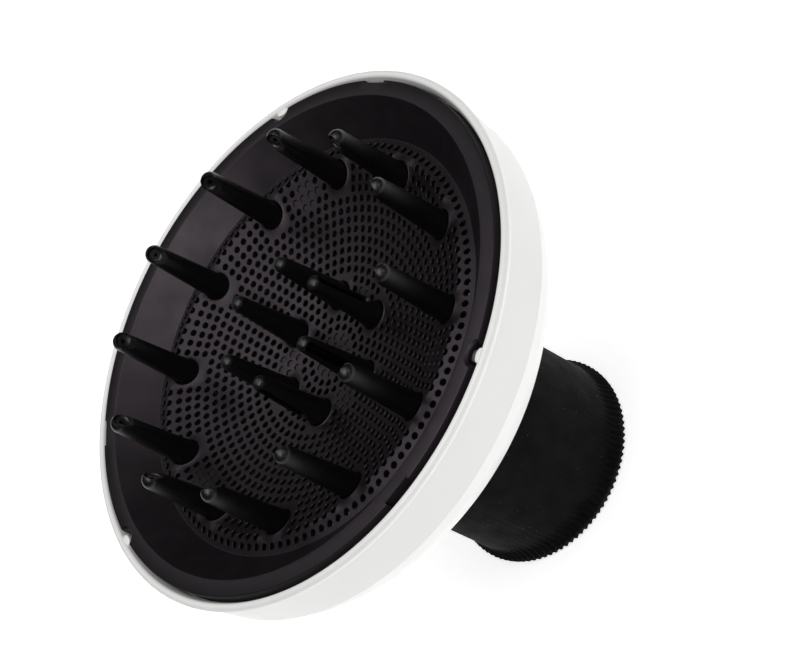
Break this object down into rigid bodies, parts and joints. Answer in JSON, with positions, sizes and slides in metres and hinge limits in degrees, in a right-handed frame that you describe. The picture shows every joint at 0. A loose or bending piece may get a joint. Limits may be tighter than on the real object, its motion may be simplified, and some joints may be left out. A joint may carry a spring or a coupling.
{
  "type": "dryer diffuser",
  "caption": "Hair-dryer diffuser: a round white bowl with a dished perforated plate, hollow massage fingers and a soft ribbed push-on collar.",
  "frame": {"origin": "centre of the collar's rear rim, which the diffuser stands on", "axes": "+Z along the bowl's axis and out of its mouth; -Y towards the viewer; an outer finger stands on +X and on +Y"},
  "size_m": [0.1676, 0.1676, 0.1352],
  "materials": {
    "white_plastic": "satin gloss, moulded",
    "charcoal_plastic": "fine satin, moulded",
    "black_plastic": "semi-gloss, moulded",
    "black_rubber": "soft matte",
    "zinc_screw": "zinc plated"
  },
  "bodies": {
    "collar": {"push_on_collar": "black_rubber"},
    "bowl": {"bowl_shell": "white_plastic"},
    "insert": {"finger_plate": "charcoal_plastic", "air_baffle": "black_plastic", "outer_finger_01": "black_plastic", "outer_finger_02": "black_plastic", "outer_finger_03": "black_plastic", "outer_finger_04": "black_plastic", "outer_finger_05": "black_plastic", "outer_finger_06": "black_plastic", "outer_finger_07": "black_plastic", "outer_finger_08": "black_plastic", "outer_finger_09": "black_plastic", "outer_finger_10": "black_plastic", "outer_finger_11": "black_plastic", "outer_finger_12": "black_plastic", "inner_finger_01": "black_plastic", "inner_finger_02": "black_plastic", "inner_finger_03": "black_plastic", "inner_finger_04": "black_plastic", "inner_finger_05": "black_plastic", "inner_finger_06": "black_plastic", "baffle_screw_1": "zinc_screw", "baffle_screw_2": "zinc_screw", "baffle_screw_3": "zinc_screw"}
  },
  "joints": [
    {"name": "bowl_pull_off", "type": "slide", "parent": "collar", "child": "bowl", "axis": [0, 0, 1], "range_m": [0, 0.03]},
    {"name": "insert_release", "type": "slide", "parent": "bowl", "child": "insert", "axis": [0, 0, 1], "range_m": [0, 0.042]}
  ]
}
